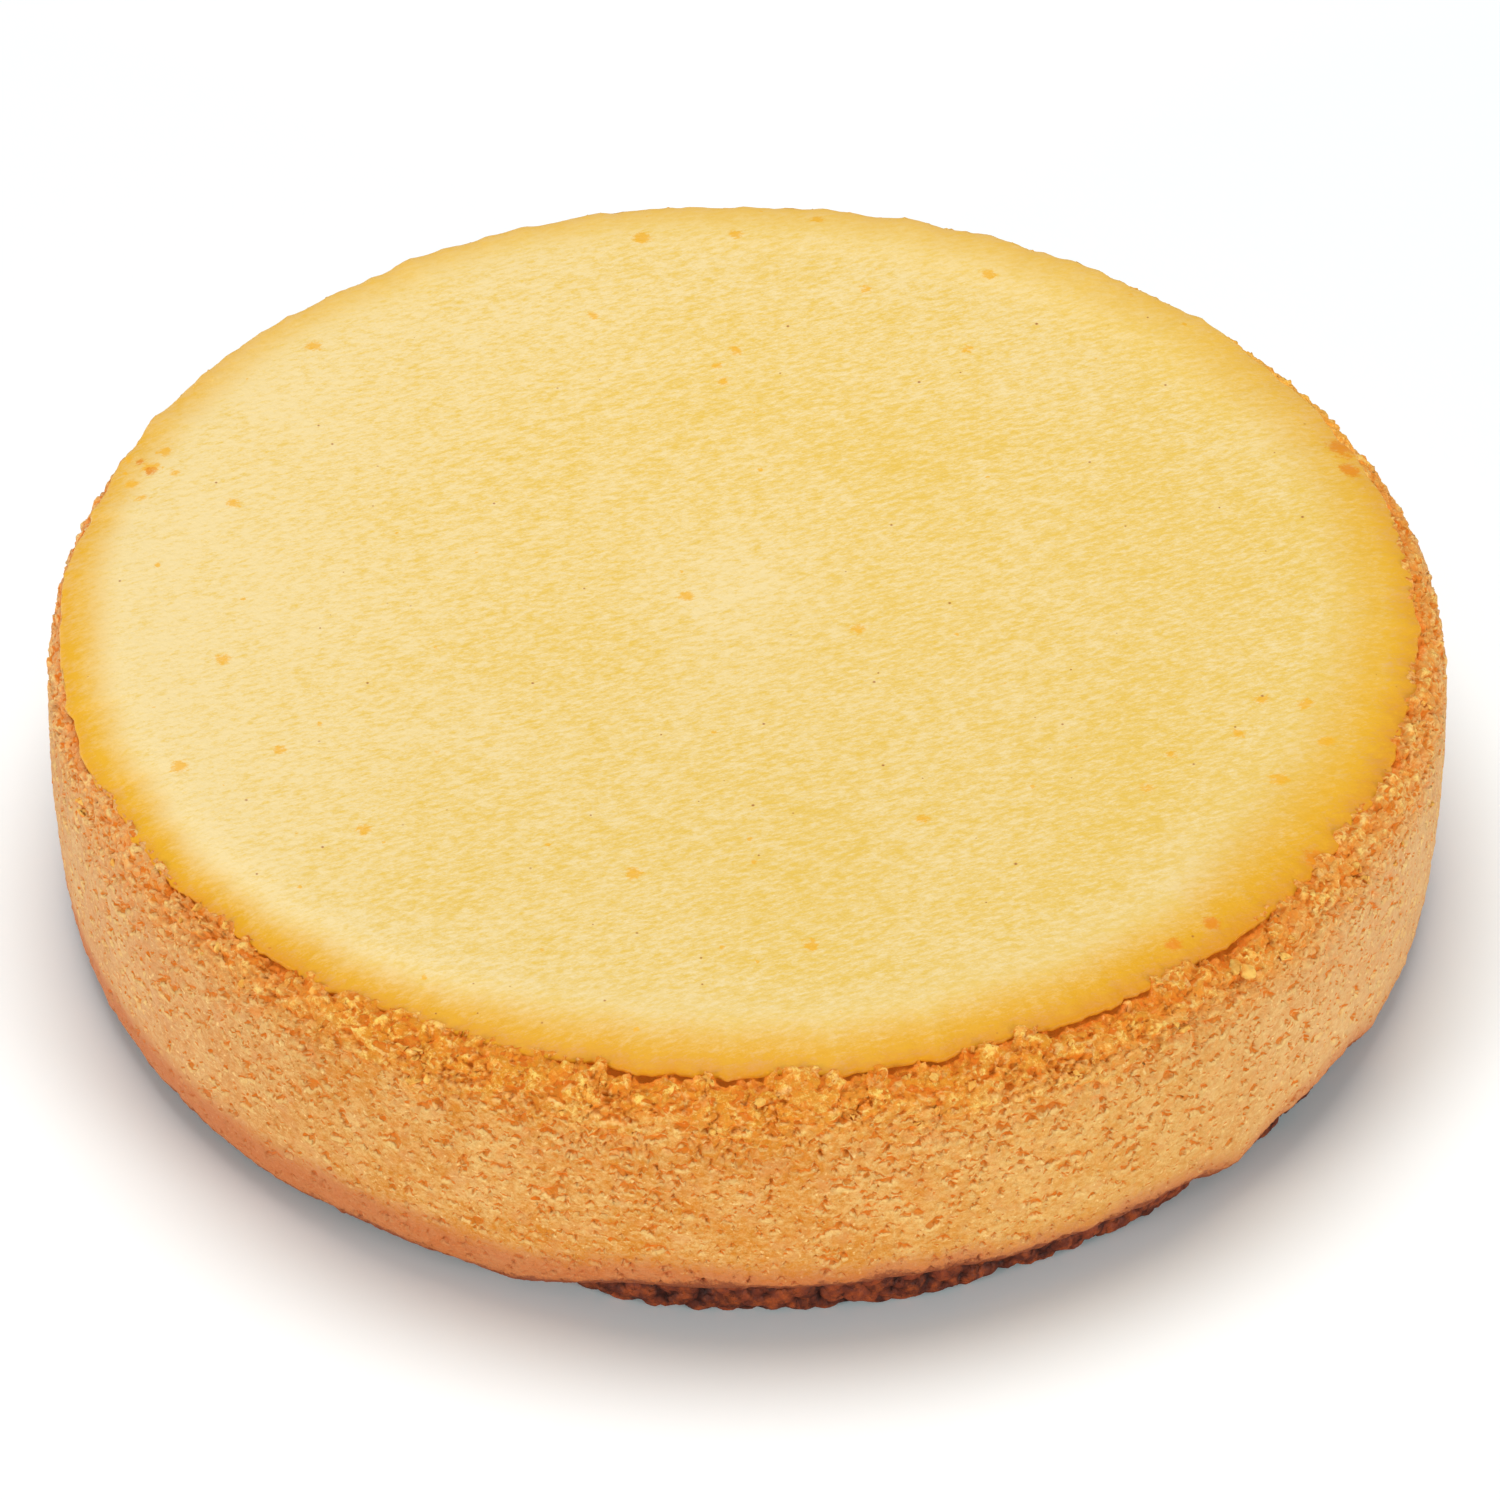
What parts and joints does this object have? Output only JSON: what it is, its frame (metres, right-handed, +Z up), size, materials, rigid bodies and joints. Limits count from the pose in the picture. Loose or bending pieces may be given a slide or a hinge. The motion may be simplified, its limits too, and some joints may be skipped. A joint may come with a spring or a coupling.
{
  "type": "pumpkin cheesecake",
  "caption": "Whole round baked pumpkin cheesecake: smooth dished top, browned crumbly rim and wall, thin pressed crumb base.",
  "frame": {"origin": "middle of the cake's footprint, at the height of the surface it stands on", "axes": "+Z up through the top of the cake; the pictured front faces -Y"},
  "size_m": [0.229, 0.2292, 0.0506],
  "materials": {
    "baked_filling": "satin baked skin, crumbly matte side",
    "crumb_base": "matte pressed crumbs"
  },
  "bodies": {
    "root": {"filling": "baked_filling", "crumb_base": "crumb_base"}
  },
  "joints": []
}
